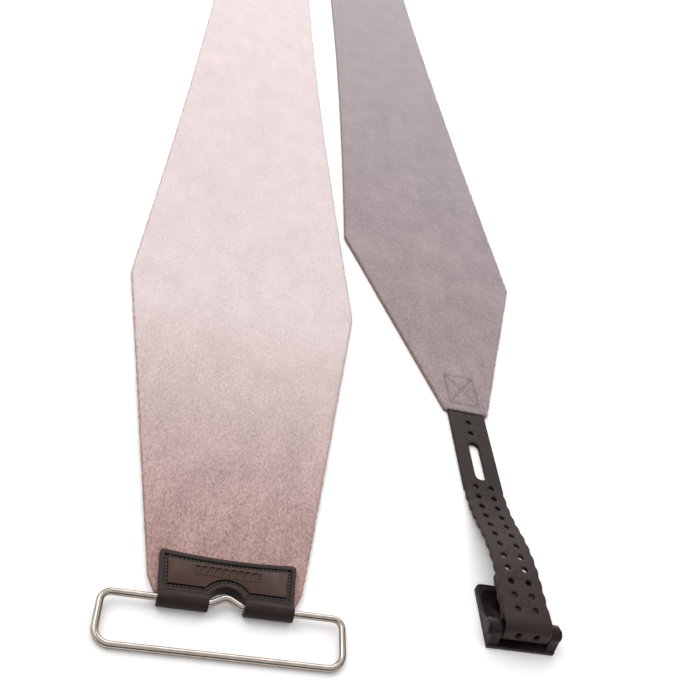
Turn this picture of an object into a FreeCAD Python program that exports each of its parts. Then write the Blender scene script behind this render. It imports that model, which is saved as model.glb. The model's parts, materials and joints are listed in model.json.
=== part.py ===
"""A pair of climbing skins for touring skis, lying flat and plush side up, one turned end for end.

Each skin is a long strip of nap plush on a membrane and an adhesive layer, cut to the sidecut of a ski.
A rubber tab at the tip holds a closed wire loop that goes over the tip of the ski. A perforated rubber
strap at the tail goes round the bar of a hook that grips the tail of the ski.

Units are millimetres and +Z is up. The origin is on the floor, in the middle of the pair. A skin is built
with x across it, y along it from the axis of its wire loop towards its tail, and z up from the floor. The
left skin has its tip at -Y. The right skin is the left one turned half a turn about Z.
"""

import FreeCAD, Part
import math
import os

from FreeCAD import Vector

# Plan of one skin.
PLUSH_START = 3.7
PLUSH_END = 1610.0
TIP_HALF = 28.5
BEVEL_HALF = 32.0
BEVEL_LENGTH = 7.0
SHOVEL_Y = 210.0
SHOVEL_HALF = 66.5
WAIST_Y = 860.0
WAIST_HALF = 51.0
INNER_HEEL = (63.5, 1451.0)
OUTER_HEEL = (-56.5, 1472.0)
TAIL_HALF = 13.0

# Layers, from the floor up.
GLUE_TOP = 0.6
MEMBRANE_TOP = 0.9
PLUSH_TOP = 3.0
GLUE_START = 32.0
GLUE_STOP_BEFORE_END = 45.0
PATCH_GAP = 0.5

# Rubber tab and wire loop at the tip.
WIRE_R = 1.4
BORE_R = 1.45
SLEEVE_R = 3.6
AXIS_Z = SLEEVE_R
TAB_HALF_TOP = 28.8
TAB_HALF_FRONT = 27.4
TAB_TOP = 22.0
TAB_DIP = 1.5
TAB_CORNER_R = 1.6
TAB_THICK = 2.0
TAB_LOWER_END = 30.0
WINDOW_HALF = 7.3
NOTCH_R = 7.4
NOTCH_WALL = 1.2
NOTCH_PLUSH_R = 9.0
GROOVE_IN = 1.9
GROOVE_WIDTH = 1.6
GROOVE_DEPTH = 0.6
GROOVE_CLEAR = 2.65
THREAD_WIDTH = 0.8
THREAD_THICK = 0.45
PANEL_LIFT = 0.25
BADGE_SIZE = (28.0, 4.7)
BADGE_Y = 13.9
BADGE_DEPTH = 0.3
BADGE_LIFT = 0.15
FRAME_WIDTH = 0.5
RIB_COUNT = 9
RIB_WIDTH = 0.9
LOOP_HALF = 48.5
LOOP_REACH = 21.0
LOOP_REAR_R = 4.0
LOOP_FRONT_R = 6.5
KINK_HALF = 6.4
KINK_RISE = 3.4
KINK_FOOT_R = 3.0
KINK_TOP_R = 3.5

# Rubber strap, measured outwards from the end of the plush.
STRAP_HALF = 11.0
STRAP_THICK = 2.2
STRAP_HINGE = 2.5
ROOT_END = 1.1
ROOT_INSIDE = 38.0
ROOT_FLAP_THICK = 1.0
RISE_START = 52.0
RISE_END = 120.0
LAYER_GAP = 0.3
RETURN_END = 114.0
OUTER_BEND_R = 4.0
INNER_BEND_R = 2.0
HOLE_R = 1.5
SINGLE_HOLES = (8.5, 16.9)
SLOT_START = 24.0
SLOT_END = 50.6
SLOT_HALF = 3.1
PAIR_HALF = 4.3
PAIR_FIRST = 56.0
PAIR_PITCH = 7.2
PAIR_COUNT = 12
SCALLOP_R = 6.0
SCALLOP_DEPTH = 0.5

# Hook under the strap's end, and the peg plate that locks the strap's length.
BAR_R = 2.0
BAR_GAP = 0.2
BAR_Y = 141.2
PLATE_THICK = 2.0
MOUTH_HEIGHT = 6.6
PLATE_GAP = 0.5
PEG_PLATE_THICK = 0.7
PEG_R = 1.4
PEG_MARGIN = 2.5
PEG_SUNK = 0.8
HOOK_TIP = 116.0
HOOK_BACK = 147.2
HOOK_HALF = 16.2
HOOK_CORNER_R = 3.0
EAR_FOOT = 130.0
EAR_INNER = 11.6
EAR_R = 4.2
KNOB_R = 3.0
KNOB_OUT = 1.6
KNOB_ROUND = 0.7
LIP_BEAD_R = 1.4
LIP_BEAD_SUNK = 0.35
JOIN = 1.0

# Box stitch through the tail end.
STITCH_BOX_HALF = 9.0
STITCH_BOX_START = 6.0
STITCH_BOX_END = 30.0
STITCH_WIDTH = 0.9
STITCH_PLAY = 0.1
STITCH_DEPTH = 0.5
STITCH_THICK = 0.3

# Places that follow from the sizes above, and the gaps between the halves and between the skins.
BAR_Z = PLATE_THICK + PLATE_GAP + STRAP_THICK + BAR_GAP + BAR_R
WRAP_R = BAR_R + BAR_GAP + STRAP_THICK / 2
RETURN_Z = PLATE_THICK + MOUTH_HEIGHT + PEG_PLATE_THICK + STRAP_THICK / 2
OUTER_Z = RETURN_Z + STRAP_THICK + LAYER_GAP
OUTER_S = BAR_Y + WRAP_R
INNER_S = BAR_Y - WRAP_R
FOLD_Y = (PLUSH_END + HOOK_BACK + BAR_GAP - LOOP_REACH - WIRE_R) / 2
FOLD_GAP = 0.3
TIGHT_GAP = 5.0
PAIR_OFFSET = 20.0

# Sizes of the boxes that only cut, and the distance below which two places are the same.
HIGH = 40.0
WIDE = 200.0
TOUCHING = 1e-6


def box(x0, x1, y0, y1, z0, z1):
    """Box between two corners."""
    return Part.makeBox(x1 - x0, y1 - y0, z1 - z0, Vector(x0, y0, z0))


def across(radius, y, z, x0, x1):
    """Cylinder lying across the skin."""
    return Part.makeCylinder(radius, x1 - x0, Vector(x0, y, z), Vector(1, 0, 0))


def upright(radius, x, y, z0, z1):
    """Standing cylinder."""
    return Part.makeCylinder(radius, z1 - z0, Vector(x, y, z0))


def polyline(points):
    """Closed wire through points in the floor plane."""
    corners = [Vector(x, y, 0) for x, y in points]
    return Part.makePolygon(corners + corners[:1])


def raised(wire, z0, z1):
    """Solid that stands on a closed floor-plane wire, between two heights."""
    solid = Part.Face(wire).extrude(Vector(0, 0, z1 - z0))
    solid.translate(Vector(0, 0, z0))
    return solid


def side_arc(centre_y, centre_z, radius, start_deg, end_deg):
    """Arc in the plane of y and z."""
    angles = [math.radians(a) for a in (start_deg, (start_deg + end_deg) / 2, end_deg)]
    points = [Vector(0, centre_y + radius * math.cos(a), centre_z + radius * math.sin(a)) for a in angles]
    return Part.Arc(*points).toShape()


def side_line(y0, z0, y1, z1):
    """Line in the plane of y and z."""
    return Part.makeLine(Vector(0, y0, z0), Vector(0, y1, z1))


def rounded(points, radii):
    """Closed wire in the floor plane whose corners are tangent arcs of the given radii."""
    count = len(points)
    corners = [Vector(x, y, 0) for x, y in points]
    cuts = []
    for i in range(count):
        back = (corners[i - 1] - corners[i]).normalize()
        ahead = (corners[(i + 1) % count] - corners[i]).normalize()
        half = back.getAngle(ahead) / 2
        reach = radii[i] / math.tan(half)
        middle = (back + ahead).normalize() * (radii[i] / math.sin(half) - radii[i])
        cuts.append((corners[i] + back * reach, corners[i] + middle, corners[i] + ahead * reach))
    edges = []
    for i in range(count):
        edges.append(Part.Arc(*cuts[i]).toShape())
        edges.append(Part.makeLine(cuts[i][2], cuts[(i + 1) % count][0]))
    return Part.Wire(edges)


def skin_outline():
    """Plan of the strip: bevelled tip, straight flare, sidecut arcs and a lopsided taper to the tail."""
    bevel_y = PLUSH_START + BEVEL_LENGTH
    half = [(TIP_HALF, PLUSH_START), (BEVEL_HALF, bevel_y), (SHOVEL_HALF, SHOVEL_Y)]
    right = [Vector(x, y, 0) for x, y in half]
    left = [Vector(-x, y, 0) for x, y in half]
    heel = Vector(*INNER_HEEL, 0)
    far_heel = Vector(*OUTER_HEEL, 0)
    waist = Vector(WAIST_HALF, WAIST_Y, 0)
    edges = [Part.makeLine(left[0], right[0]), Part.makeLine(right[0], right[1])]
    edges.append(Part.makeLine(right[1], right[2]))
    edges.append(Part.Arc(right[2], waist, heel).toShape())
    end = [Vector(TAIL_HALF, PLUSH_END, 0), Vector(-TAIL_HALF, PLUSH_END, 0)]
    edges.append(Part.makeLine(heel, end[0]))
    edges.append(Part.makeLine(end[0], end[1]))
    edges.append(Part.makeLine(end[1], far_heel))
    edges.append(Part.Arc(far_heel, Vector(-waist.x, waist.y, 0), left[2]).toShape())
    edges.append(Part.makeLine(left[2], left[1]))
    edges.append(Part.makeLine(left[1], left[0]))
    return Part.Wire(edges)


def layer(z0, z1, y0, y1):
    """One layer of the strip, between two heights and two places along it."""
    return raised(skin_outline(), z0, z1).common(box(-WIDE, WIDE, y0, y1, z0 - 1, z1 + 1))


def halves(shape):
    """The front and rear halves of a layer, either side of the storage fold."""
    front = shape.common(box(-WIDE, WIDE, -HIGH, FOLD_Y - FOLD_GAP / 2, -HIGH, HIGH))
    rear = shape.common(box(-WIDE, WIDE, FOLD_Y + FOLD_GAP / 2, PLUSH_END + HIGH, -HIGH, HIGH))
    return front, rear


def tab_outline():
    """Plan of the tab behind its sleeves: narrower in front, dished at the top, notched for the wire."""
    corner = TAB_CORNER_R
    top = [Vector(x, TAB_TOP, 0) for x in (corner - TAB_HALF_TOP, TAB_HALF_TOP - corner)]
    dip = Vector(0, TAB_TOP - TAB_DIP, 0)
    side = [Vector(s * TAB_HALF_TOP, TAB_TOP - corner, 0) for s in (-1, 1)]
    bend = corner * (1 - math.sqrt(0.5))
    turn = [Vector(s * (TAB_HALF_TOP - bend), TAB_TOP - bend, 0) for s in (-1, 1)]
    foot = [Vector(s * TAB_HALF_FRONT, 0, 0) for s in (-1, 1)]
    lip = [Vector(s * NOTCH_R, 0, 0) for s in (-1, 1)]
    edges = [
        Part.Arc(top[0], dip, top[1]).toShape(),
        Part.Arc(top[1], turn[1], side[1]).toShape(),
        Part.makeLine(side[1], foot[1]),
        Part.makeLine(foot[1], lip[1]),
        Part.Arc(lip[1], Vector(0, NOTCH_R, 0), lip[0]).toShape(),
        Part.makeLine(lip[0], foot[0]),
        Part.makeLine(foot[0], side[0]),
        Part.Arc(side[0], turn[0], top[0]).toShape(),
    ]
    return Part.Wire(edges)


def groove_ring(inset, width, z0, z1):
    """Ring that follows the tab's edge, from inset to inset plus width, clear of the sleeves."""
    outline = raised(tab_outline(), 0, 1).cut(box(-WIDE, WIDE, -HIGH, GROOVE_CLEAR, -1, 2))
    floor = [f for f in outline.Faces if abs(f.CenterOfMass.z) < TOUCHING][0]
    outer = floor.OuterWire.makeOffset2D(-inset)
    inner = floor.OuterWire.makeOffset2D(-inset - width)
    return raised(outer, z0, z1).cut(raised(inner, z0 - 1, z1 + 1)), raised(inner, z0, z1)


def tip_tab():
    """Rubber tab folded over the tip: upper and lower flap, two sleeves, stitch groove, panel and badge."""
    top = PLUSH_TOP + TAB_THICK
    tab = raised(tab_outline(), PLUSH_TOP, top)
    lower = box(-TAB_HALF_FRONT, TAB_HALF_FRONT, 0, TAB_LOWER_END, 0, GLUE_TOP)
    nose = box(-TAB_HALF_FRONT, TAB_HALF_FRONT, 0, PLUSH_START, 0, top)
    arch = upright(NOTCH_R + NOTCH_WALL, 0, 0, 0, top).common(box(-WIDE, WIDE, 0, WIDE, 0, top))
    sleeves = across(SLEEVE_R, 0, AXIS_Z, -TAB_HALF_FRONT, TAB_HALF_FRONT)
    tab = tab.fuse([lower, nose, arch, sleeves])
    tab = tab.removeSplitter()
    window = box(-WINDOW_HALF, WINDOW_HALF, -HIGH, 0, -1, HIGH)
    notch = upright(NOTCH_R, 0, 0, -1, HIGH)
    bore = across(BORE_R, 0, AXIS_Z, -WIDE, WIDE)
    ring, panel = groove_ring(GROOVE_IN, GROOVE_WIDTH, top - GROOVE_DEPTH, top + 1)
    lifted = panel.common(box(-WIDE, WIDE, 0, WIDE, top - GROOVE_DEPTH, top + PANEL_LIFT))
    badge_floor = top + PANEL_LIFT - BADGE_DEPTH
    badge_top = top + PANEL_LIFT + BADGE_LIFT
    tab = tab.cut([window, notch, bore, ring]).fuse(lifted).cut(badge_block(0, badge_floor, HIGH))
    frame = badge_block(0, badge_floor, badge_top).cut(badge_block(FRAME_WIDTH, badge_floor, HIGH))
    return tab.fuse([frame] + badge_ribs(badge_floor, badge_top)).removeSplitter()


def badge_block(inset, z0, z1):
    """Block over the badge, drawn in from its outline by inset."""
    wide, tall = (size / 2 - inset for size in BADGE_SIZE)
    return box(-wide, wide, BADGE_Y - tall, BADGE_Y + tall, z0, z1)


def badge_ribs(z0, z1):
    """Slanted ribs across the inside of the badge, from one side of its frame to the other."""
    wide, tall = (size - 2 * FRAME_WIDTH for size in BADGE_SIZE)
    low, high = BADGE_Y - tall / 2, BADGE_Y + tall / 2
    pitch = wide / RIB_COUNT
    lean = pitch / 4
    ribs = []
    for i in range(RIB_COUNT):
        x = pitch * (i + 0.5) - wide / 2
        rib = polyline([
            (x - lean - RIB_WIDTH / 2, low), (x - lean + RIB_WIDTH / 2, low),
            (x + lean + RIB_WIDTH / 2, high), (x + lean - RIB_WIDTH / 2, high),
        ])
        ribs.append(raised(rib, z0, z1))
    return ribs


def tip_stitching():
    """Thread that runs round the tab in its groove."""
    floor = PLUSH_TOP + TAB_THICK - GROOVE_DEPTH
    inset = GROOVE_IN + (GROOVE_WIDTH - THREAD_WIDTH) / 2
    return groove_ring(inset, THREAD_WIDTH, floor, floor + THREAD_THICK)[0]


def tip_loop():
    """Closed wire loop, with a kink between the sleeves, sloping from its sleeves to the floor."""
    spine = rounded(
        [
            (LOOP_HALF, -LOOP_REACH), (LOOP_HALF, 0), (KINK_HALF, 0), (0, KINK_RISE),
            (-KINK_HALF, 0), (-LOOP_HALF, 0), (-LOOP_HALF, -LOOP_REACH),
        ],
        [LOOP_FRONT_R, LOOP_REAR_R, KINK_FOOT_R, KINK_TOP_R, KINK_FOOT_R, LOOP_REAR_R, LOOP_FRONT_R],
    )
    start = Vector(LOOP_HALF - LOOP_FRONT_R, -LOOP_REACH, 0)
    ring = Part.Wire(Part.makeCircle(WIRE_R, start, Vector(1, 0, 0)))
    wire = spine.makePipeShell([ring], True, True)
    slope = math.degrees(math.asin((AXIS_Z - WIRE_R) / LOOP_REACH))
    wire.rotate(Vector(0, 0, 0), Vector(1, 0, 0), slope)
    wire.translate(Vector(0, 0, AXIS_Z))
    return wire


def strap_path():
    """Middle line of the strap: along the floor, up, down over the tail, round the bar and back under."""
    middle = STRAP_THICK / 2
    run = RISE_END - RISE_START
    rise = OUTER_Z - middle
    radius = (run ** 2 + rise ** 2) / (4 * rise)
    turn = math.degrees(2 * math.atan(rise / run))
    return [
        side_line(STRAP_HINGE, middle, RISE_START, middle),
        side_arc(RISE_START, middle + radius, radius, -90, -90 + turn),
        side_arc(RISE_END, OUTER_Z - radius, radius, 90 + turn, 90),
        side_line(RISE_END, OUTER_Z, OUTER_S - OUTER_BEND_R, OUTER_Z),
        side_arc(OUTER_S - OUTER_BEND_R, OUTER_Z - OUTER_BEND_R, OUTER_BEND_R, 90, 0),
        side_line(OUTER_S, OUTER_Z - OUTER_BEND_R, OUTER_S, BAR_Z),
        side_arc(BAR_Y, BAR_Z, WRAP_R, 0, -180),
        side_line(INNER_S, BAR_Z, INNER_S, RETURN_Z - INNER_BEND_R),
        side_arc(INNER_S - INNER_BEND_R, RETURN_Z - INNER_BEND_R, INNER_BEND_R, 0, 90),
        side_line(INNER_S - INNER_BEND_R, RETURN_Z, RETURN_END, RETURN_Z),
    ]


def pair_places():
    """Distance from the end of the plush to each pair of holes."""
    return [PAIR_FIRST + PAIR_PITCH * i for i in range(PAIR_COUNT)]


def tail_strap():
    """Perforated rubber strap with scalloped edges, its end looped round the hook's bar."""
    section = Part.Face(Part.Wire(strap_path()).makeOffset2D(STRAP_THICK / 2))
    strap = section.extrude(Vector(2 * STRAP_HALF, 0, 0))
    strap.translate(Vector(-STRAP_HALF, 0, 0))
    cuts = [upright(HOLE_R, 0, s, -1, HIGH) for s in SINGLE_HOLES]
    cuts += [upright(HOLE_R, x, s, -1, HIGH) for s in pair_places() for x in (-PAIR_HALF, PAIR_HALF)]
    for y in (SLOT_START + SLOT_HALF, SLOT_END - SLOT_HALF):
        cuts.append(upright(SLOT_HALF, 0, y, -1, HIGH))
    cuts.append(box(-SLOT_HALF, SLOT_HALF, SLOT_START + SLOT_HALF, SLOT_END - SLOT_HALF, -1, HIGH))
    reach = STRAP_HALF - SCALLOP_DEPTH + SCALLOP_R
    for s in pair_places()[:-1]:
        cuts += [upright(SCALLOP_R, x, s + PAIR_PITCH / 2, -1, HIGH) for x in (-reach, reach)]
    for x in (-PAIR_HALF, PAIR_HALF):
        cuts.append(Part.makeCylinder(HOLE_R, HIGH, Vector(x, BAR_Y, BAR_Z + BAR_R), Vector(0, 1, 0)))
    return strap.cut(cuts)


def strap_root():
    """Flat end of the strap, sewn in under the plush, with the stub that shows behind the plush."""
    flap_z = MEMBRANE_TOP
    flap = box(-STRAP_HALF, STRAP_HALF, -ROOT_INSIDE, 0, flap_z, flap_z + ROOT_FLAP_THICK)
    return flap.fuse(box(-STRAP_HALF, STRAP_HALF, 0, ROOT_END, 0, STRAP_THICK)).removeSplitter()


def peg_plate():
    """Plate under the strap's end whose pegs lock the last two pairs of holes of both strap layers."""
    top = PLATE_THICK + MOUTH_HEIGHT + PEG_PLATE_THICK
    places = pair_places()[-2:]
    foot = top - PEG_PLATE_THICK
    half = PAIR_HALF + PEG_MARGIN
    end = INNER_S - INNER_BEND_R - BAR_GAP
    plate = box(-half, half, places[0] - PEG_MARGIN, end, foot, top)
    peg_top = OUTER_Z + STRAP_THICK / 2 - PEG_SUNK
    pegs = [upright(PEG_R, x, s, foot, peg_top) for s in places for x in (-PAIR_HALF, PAIR_HALF)]
    return plate.fuse(pegs).removeSplitter()


def tail_hook():
    """Hook that grips the tail: lower plate with a rounded lip, two ears, the bar and its end knobs."""
    plate = box(-HOOK_HALF, HOOK_HALF, HOOK_TIP, HOOK_BACK, 0, PLATE_THICK)
    corners = [e for e in plate.Edges if abs(e.Vertexes[0].Z - e.Vertexes[1].Z) > PLATE_THICK / 2]
    plate = plate.makeFillet(HOOK_CORNER_R, [e for e in corners if e.CenterOfMass.y < BAR_Y])
    lip_half = HOOK_HALF - HOOK_CORNER_R
    solids = [across(LIP_BEAD_R, HOOK_TIP + HOOK_CORNER_R, PLATE_THICK - LIP_BEAD_SUNK, -lip_half, lip_half)]
    for x in (-HOOK_HALF, EAR_INNER):
        wire = Part.makePolygon([
            Vector(x, BAR_Y - EAR_R, BAR_Z), Vector(x, BAR_Y + EAR_R, BAR_Z), Vector(x, HOOK_BACK, 0),
            Vector(x, EAR_FOOT, 0), Vector(x, EAR_FOOT, PLATE_THICK), Vector(x, BAR_Y - EAR_R, BAR_Z),
        ])
        solids.append(Part.Face(wire).extrude(Vector(HOOK_HALF - EAR_INNER, 0, 0)))
        solids.append(across(EAR_R, BAR_Y, BAR_Z, x, x + HOOK_HALF - EAR_INNER))
    tip = HOOK_HALF + KNOB_OUT
    solids.append(across(BAR_R, BAR_Y, BAR_Z, -EAR_INNER - JOIN, EAR_INNER + JOIN))
    for x in (-tip, HOOK_HALF - JOIN):
        knob = across(KNOB_R, BAR_Y, BAR_Z, x, x + KNOB_OUT + JOIN)
        rims = [e for e in knob.Edges if abs(abs(e.CenterOfMass.x) - tip) < TOUCHING]
        solids.append(knob.makeFillet(KNOB_ROUND, rims))
    return plate.fuse(solids).removeSplitter()


def stitch_lines():
    """Plan of the box stitch at the tail: a rectangle and its two diagonals, as narrow strips."""
    x = STITCH_BOX_HALF
    y0, y1 = -STITCH_BOX_END, -STITCH_BOX_START
    ends = [(-x, y0, x, y0), (-x, y1, x, y1), (-x, y0, -x, y1), (x, y0, x, y1)]
    return ends + [(-x, y0, x, y1), (x, y0, -x, y1)]


def stitch_strip(run, width, z0, z1):
    """Strip of thread between two points of the floor plane."""
    x0, y0, x1, y1 = run
    length = math.hypot(x1 - x0, y1 - y0)
    strip = box(-width / 2, length + width / 2, -width / 2, width / 2, z0, z1)
    strip.rotate(Vector(0, 0, 0), Vector(0, 0, 1), math.degrees(math.atan2(y1 - y0, x1 - x0)))
    strip.translate(Vector(x0, y0, 0))
    return strip


def tail_stitching(width, z0, z1):
    """Box stitch as one solid."""
    strips = [stitch_strip(run, width, z0, z1) for run in stitch_lines()]
    return strips[0].fuse(strips[1:]).removeSplitter()


def from_tail(shape):
    """Moves a piece that was built from the end of the plush to its place along the skin."""
    moved = shape.copy()
    moved.translate(Vector(0, PLUSH_END, 0))
    return moved


def skin_pieces():
    """Every piece of one skin, by name."""
    notch = upright(NOTCH_PLUSH_R, 0, 0, -1, HIGH)
    glue = layer(0, GLUE_TOP, GLUE_START, PLUSH_END - GLUE_STOP_BEFORE_END)
    membrane = layer(GLUE_TOP, MEMBRANE_TOP, PLUSH_START, PLUSH_END).cut(notch)
    pocket = from_tail(strap_root())
    groove = from_tail(tail_stitching(STITCH_WIDTH, PLUSH_TOP - STITCH_DEPTH, PLUSH_TOP + 1))
    plush = layer(MEMBRANE_TOP, PLUSH_TOP, PLUSH_START, PLUSH_END).cut([notch, pocket, groove])
    thread_foot = PLUSH_TOP - STITCH_DEPTH
    thread = tail_stitching(STITCH_WIDTH - STITCH_PLAY, thread_foot, thread_foot + STITCH_THICK)
    patch_start = PLUSH_END - GLUE_STOP_BEFORE_END + PATCH_GAP
    pieces = {
        "tip_tab": tip_tab(),
        "tip_stitching": tip_stitching(),
        "tip_loop": tip_loop(),
        "tail_patch": layer(0, GLUE_TOP, patch_start, PLUSH_END),
        "strap_root": pocket,
        "tail_stitching": from_tail(thread),
        "tail_strap": from_tail(tail_strap()),
        "peg_plate": from_tail(peg_plate()),
        "tail_hook": from_tail(tail_hook()),
    }
    for name, shape in (("glue", glue), ("membrane", membrane), ("plush", plush)):
        pieces[name + "_front"], pieces[name + "_rear"] = halves(shape)
    return pieces


def spacing():
    """Distance between the two skins' middle lines that leaves the tightest gap between their edges."""
    heel_half, heel_y = INNER_HEEL
    beside_heel = Vector(0, 2 * FOLD_Y - heel_y + PAIR_OFFSET, 0)
    outline = Part.Face(skin_outline())
    cut = outline.common(Part.makeLine(beside_heel, beside_heel + Vector(WIDE, 0, 0)))
    return cut.Length + heel_half + TIGHT_GAP


def main():
    """Writes one STEP file for each piece of each skin."""
    os.makedirs("parts", exist_ok=True)
    shift = spacing() / 2
    for name, shape in skin_pieces().items():
        shape.translate(Vector(-shift, -FOLD_Y - PAIR_OFFSET / 2, 0))
        shape.exportStep("parts/left_" + name + ".step")
        shape.rotate(Vector(0, 0, 0), Vector(0, 0, 1), 180)
        shape.exportStep("parts/right_" + name + ".step")
        print(name, len(shape.Solids), shape.isValid(), round(shape.Volume, 1), shape.BoundBox)
    print("spacing", round(2 * shift, 3), "fold", FOLD_Y, "bar", BAR_Y, BAR_Z)


main()
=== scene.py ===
"""Finish of a pair of climbing skins that lie flat on a pale floor, one turned end for end.

The plush, its fibres, the layers under it, the perforated strap and the stitching are worked out here
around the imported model. Every piece is computed in its skin's own frame: x across the skin, y from the
axis of the wire loop towards the tail, z up from the floor. The right skin is the left one turned half a
turn about Z.
"""
import json
import math

import bmesh
import bpy
import numpy as np
from bpy.props import FloatProperty, FloatVectorProperty, IntProperty, PointerProperty
from mathutils.geometry import delaunay_2d_cdt
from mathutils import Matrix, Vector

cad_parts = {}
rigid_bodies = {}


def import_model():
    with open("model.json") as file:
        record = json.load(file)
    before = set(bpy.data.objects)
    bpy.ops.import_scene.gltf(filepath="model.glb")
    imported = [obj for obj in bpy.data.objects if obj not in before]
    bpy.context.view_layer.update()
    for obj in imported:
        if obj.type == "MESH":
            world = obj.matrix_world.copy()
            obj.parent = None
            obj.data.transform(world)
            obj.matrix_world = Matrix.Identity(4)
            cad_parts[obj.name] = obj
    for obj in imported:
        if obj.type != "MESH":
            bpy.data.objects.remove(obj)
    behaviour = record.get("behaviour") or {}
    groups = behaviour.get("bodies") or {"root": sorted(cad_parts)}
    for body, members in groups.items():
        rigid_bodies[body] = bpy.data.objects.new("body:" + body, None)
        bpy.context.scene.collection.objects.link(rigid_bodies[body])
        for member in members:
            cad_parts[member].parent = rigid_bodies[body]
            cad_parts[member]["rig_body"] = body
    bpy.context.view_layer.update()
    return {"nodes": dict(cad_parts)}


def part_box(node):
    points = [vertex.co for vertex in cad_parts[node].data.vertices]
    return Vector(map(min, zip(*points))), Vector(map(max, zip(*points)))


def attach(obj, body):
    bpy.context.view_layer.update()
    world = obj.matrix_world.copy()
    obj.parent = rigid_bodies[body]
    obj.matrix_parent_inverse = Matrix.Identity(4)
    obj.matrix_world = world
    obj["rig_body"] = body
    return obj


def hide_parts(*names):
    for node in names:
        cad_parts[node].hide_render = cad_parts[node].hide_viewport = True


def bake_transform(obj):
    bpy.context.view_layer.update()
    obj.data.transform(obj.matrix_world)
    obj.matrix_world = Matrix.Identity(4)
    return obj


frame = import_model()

bl_info = {
    "name": "Climbing skins",
    "version": (1, 0, 0),
    "blender": (4, 5, 0),
    "location": "View3D > Sidebar > Skins",
    "description": "Plush, strap, stitching and finishes of a pair of climbing skins",
    "category": "Add Mesh",
}

SIDES = ("left", "right")
SEED = 41
FLOOR_Z = -0.0002

# Sizes the frame gives, in metres.
SLEEVE_R = 0.0036
WIRE_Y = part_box("left_tip_tab")[0].y + SLEEVE_R
PLUSH_LOW, PLUSH_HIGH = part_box("left_plush_front")
PLUSH_START = PLUSH_LOW.y - WIRE_Y
SHOVEL_HALF = (PLUSH_HIGH.x - PLUSH_LOW.x) / 2
PLUSH_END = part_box("left_plush_rear")[1].y - WIRE_Y
FOLD_Y = (PLUSH_HIGH.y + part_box("left_plush_rear")[0].y) / 2 - WIRE_Y
PLUSH_BOTTOM, PLUSH_TOP = PLUSH_LOW.z, PLUSH_HIGH.z
MEMBRANE_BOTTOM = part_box("left_membrane_front")[0].z
GLUE_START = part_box("left_glue_front")[0].y - WIRE_Y
GLUE_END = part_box("left_glue_rear")[1].y - WIRE_Y
PATCH_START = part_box("left_tail_patch")[0].y - WIRE_Y

# Plan of the strip.
TIP_HALF = 0.0285
TIP_BEVEL_HALF = 0.032
TIP_BEVEL = 0.007
SHOVEL_Y = 0.210
WAIST = (0.051, 0.860)
INNER_HEEL = (0.0635, 1.451)
OUTER_HEEL = (0.0565, 1.472)
TAIL_HALF = 0.013
NOTCH_R = 0.009
NOTCH_FADE = 0.025

# Rows of points: close together within DENSE_SHARE of DENSE_REACH from an end, and across the storage fold,
# whose own rows reach FOLD_SPAN of its bend and clear the other rows by FOLD_CLEAR of it.
DENSE_REACH = 0.30
DENSE_SHARE = 0.8
FOLD_REACH = 0.004
FOLD_ROWS = 19
FOLD_SPAN = 1.5
FOLD_CLEAR = 1.55

# Plush: lean of its clumps, how far the rolled edge and the seam reach, and the columns of its flat bottom.
NAP_LEAN = 0.45
CLUMP_WAVES = 30
FRAY_LIMIT = 0.0006
ROLL_REACH = 0.0009
ROLL_DROP = 0.0004
SEAM_REACH = 0.0008
BOTTOM_SHARES = np.array([-1, -0.5, *np.linspace(-0.3, 0.3, 9), 0.5, 1])
BACKING_GROW = 0.00012
FIBRE_SUNK = 0.00012
FIBRE_FLOOR = 0.0001
FIBRE_ROWS = 900

# Box stitch at the tail.
SEAM_HALF = 0.009
SEAM_NEAR = 0.030
SEAM_FAR = 0.006
SEAM_DEPTH = 0.0005
SEAM_RISE = 0.00012

# Tab stitching.
TAB_HALF_TOP = 0.0288
TAB_HALF_FRONT = 0.0274
TAB_TOP = 0.022
TAB_DIP = 0.0015
TAB_FOOT = 0.00265
TAB_NOTCH_R = 0.0074
SEAM_INSET = 0.0027
STITCH_RISE = 0.00018
GROOVE_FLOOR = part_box("left_tip_stitching")[0].z
TAB_RELIEF = 0.0006
TAB_FACE = GROOVE_FLOOR + TAB_RELIEF
PANEL_REACH = 0.0005
PANEL_CLEAR = 0.00002

# Strap, measured from the end of the plush.
STRAP_HALF = 0.011
STRAP_THICK = 0.0022
STRAP_START = 0.0011
RISE_START = 0.052
RISE_END = 0.120
STRAP_TOP_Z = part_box("left_tail_strap")[1].z - STRAP_THICK / 2
BAR_Y = 0.1412
BAR_Z = 0.0069
WRAP_R = 0.0033
OUTER_BEND_R = 0.004
INNER_BEND_R = 0.002
RETURN_Z = STRAP_TOP_Z - STRAP_THICK - 0.0003
RETURN_END = 0.114
END_ROUND = 0.005
HOLE_R = 0.0015
SINGLE_HOLES = (0.0085, 0.0169)
SLOT = (0.024, 0.0506)
SLOT_HALF = 0.0031
PAIR_HALF = 0.0043
PAIR_FIRST = 0.056
PAIR_PITCH = 0.0072
PAIR_COUNT = 12
SCALLOP_R = 0.006
SCALLOP_DEPTH = 0.0005
STRAP_BEND_END = 0.006
STRAP_MARGIN = 0.001
STRAP_ROW, BEND_ROW, STRAP_COLUMN = 0.0017, 0.0005, 0.0016
POINT_GAP = 0.0004
FLAT_SCALE = 1000.0
ARC_CORNER = 0.29
# Height over the floor up to which the strap, strap root and hook get painted shade, darkest at the floor.
PAINTED_SHADE_TOP = 0.010

# Moulded marks on the strap.
RING_R, RING_TUBE = 0.00225, 0.00016
DASH_X, DASH_HALF, DASH_WIDTH = 0.0052, 0.0013, 0.0003
MARK_RISE = 0.00012


def length_setting(name, text, default):
    """A length that a user can change, in metres."""
    return FloatProperty(name=name, description=text, default=default, unit="LENGTH", precision=6)


def colour_setting(name, text, *default):
    """A linear colour that a user can change."""
    return FloatVectorProperty(name=name, description=text, default=default, subtype="COLOR")


def power_setting(name, text, default):
    """A light's power that a user can change, in watts."""
    return FloatProperty(name=name, description=text, default=default)


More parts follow.
